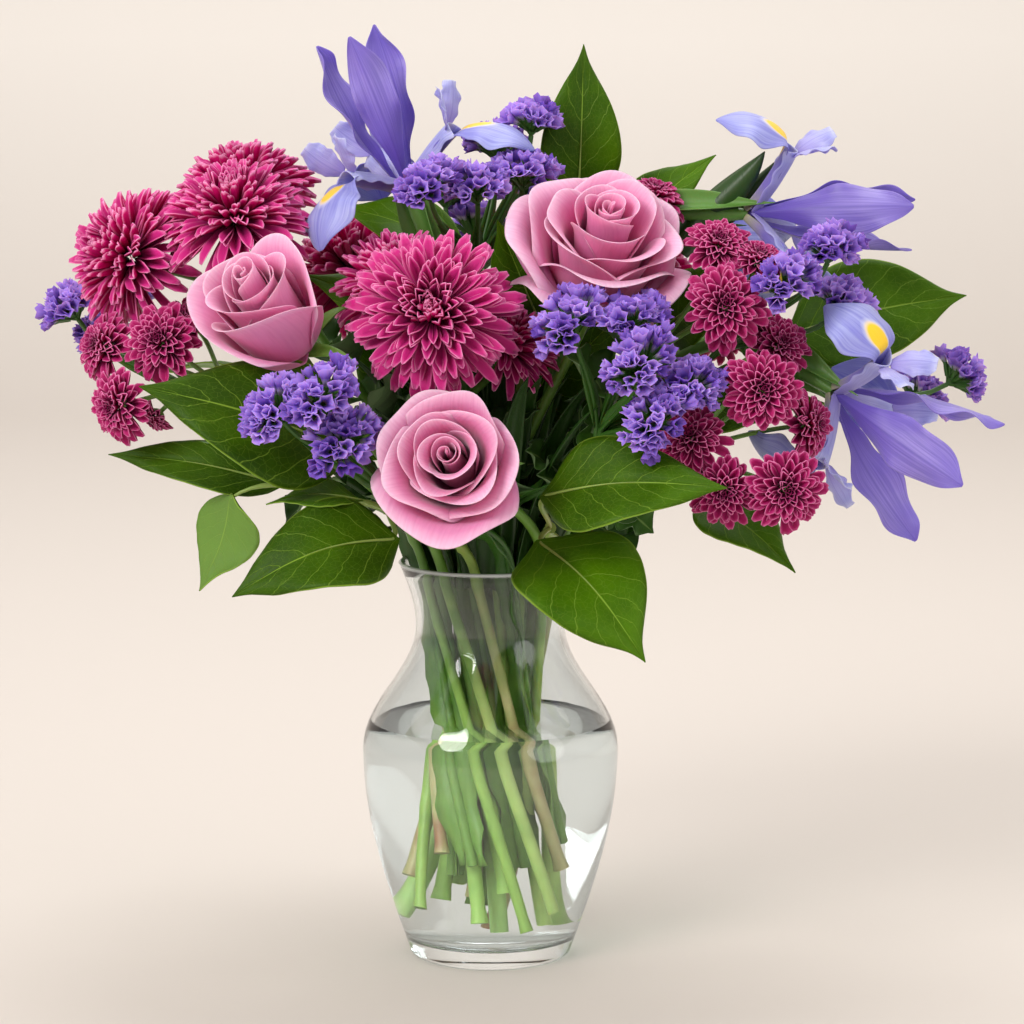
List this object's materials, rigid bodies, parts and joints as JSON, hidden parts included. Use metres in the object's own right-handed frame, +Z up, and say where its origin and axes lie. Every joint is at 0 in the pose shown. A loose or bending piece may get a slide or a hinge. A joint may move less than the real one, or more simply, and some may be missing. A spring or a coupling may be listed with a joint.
{
  "type": "mixed bouquet of irises and roses in a glass vase",
  "caption": "Cut irises, roses, chrysanthemums, statice and salal leaves standing in water in a clear glass vase with a narrow neck and a flared mouth",
  "frame": {"origin": "centre of the vase's foot, on the surface that it stands on", "axes": "+Z up along the vase's axis, -Y towards the bouquet's front"},
  "size_m": [0.4689, 0.3292, 0.4714],
  "materials": {
    "glass": "polished clear",
    "water": "clear liquid",
    "green_stem": "smooth green stalk",
    "salal_leaf": "waxy",
    "rose_petal": "velvety",
    "chrysanthemum_petal": "satin",
    "button_chrysanthemum_petal": "satin",
    "statice_floret": "papery",
    "iris_standard": "satin",
    "iris_fall": "satin",
    "iris_style": "satin"
  },
  "bodies": {
    "root": {"vase": "glass", "water": "water", "iris_1_stem": "green_stem", "iris_1_styles": "iris_style", "iris_1_standard_1": "iris_standard", "iris_1_standard_2": "iris_standard", "iris_1_standard_3": "iris_standard", "iris_1_fall_1": "iris_fall", "iris_1_fall_2": "iris_fall", "iris_1_fall_3": "iris_fall", "iris_2_stem": "green_stem", "iris_2_styles": "iris_style", "iris_2_standard_1": "iris_standard", "iris_2_standard_2": "iris_standard", "iris_2_standard_3": "iris_standard", "iris_2_fall_1": "iris_fall", "iris_2_fall_2": "iris_fall", "iris_2_fall_3": "iris_fall", "iris_3_stem": "green_stem", "iris_3_styles": "iris_style", "iris_3_standard_1": "iris_standard", "iris_3_standard_2": "iris_standard", "iris_3_standard_3": "iris_standard", "iris_3_fall_1": "iris_fall", "iris_3_fall_2": "iris_fall", "iris_3_fall_3": "iris_fall", "rose_left_head": "rose_petal", "rose_left_stem": "green_stem", "rose_top_head": "rose_petal", "rose_top_stem": "green_stem", "rose_front_head": "rose_petal", "rose_front_stem": "green_stem", "mum_1": "chrysanthemum_petal", "mum_2": "chrysanthemum_petal", "mum_3": "chrysanthemum_petal", "mum_4": "chrysanthemum_petal", "mum_5": "chrysanthemum_petal", "mum_6": "chrysanthemum_petal", "mum_7": "chrysanthemum_petal", "mum_8": "chrysanthemum_petal", "mum_stem_left": "green_stem", "mum_stem_centre": "green_stem", "mum_stem_back": "green_stem", "button_mum_left": "button_chrysanthemum_petal", "button_mum_right": "button_chrysanthemum_petal", "button_mum_low": "button_chrysanthemum_petal", "button_mum_back": "button_chrysanthemum_petal", "statice_left": "statice_floret", "statice_low": "statice_floret", "statice_centre": "statice_floret", "statice_top": "statice_floret", "statice_right": "statice_floret", "statice_back": "statice_floret", "salal_left": "salal_leaf", "salal_front": "salal_leaf", "salal_right": "salal_leaf", "salal_top": "salal_leaf", "salal_back": "salal_leaf"}
  },
  "joints": []
}
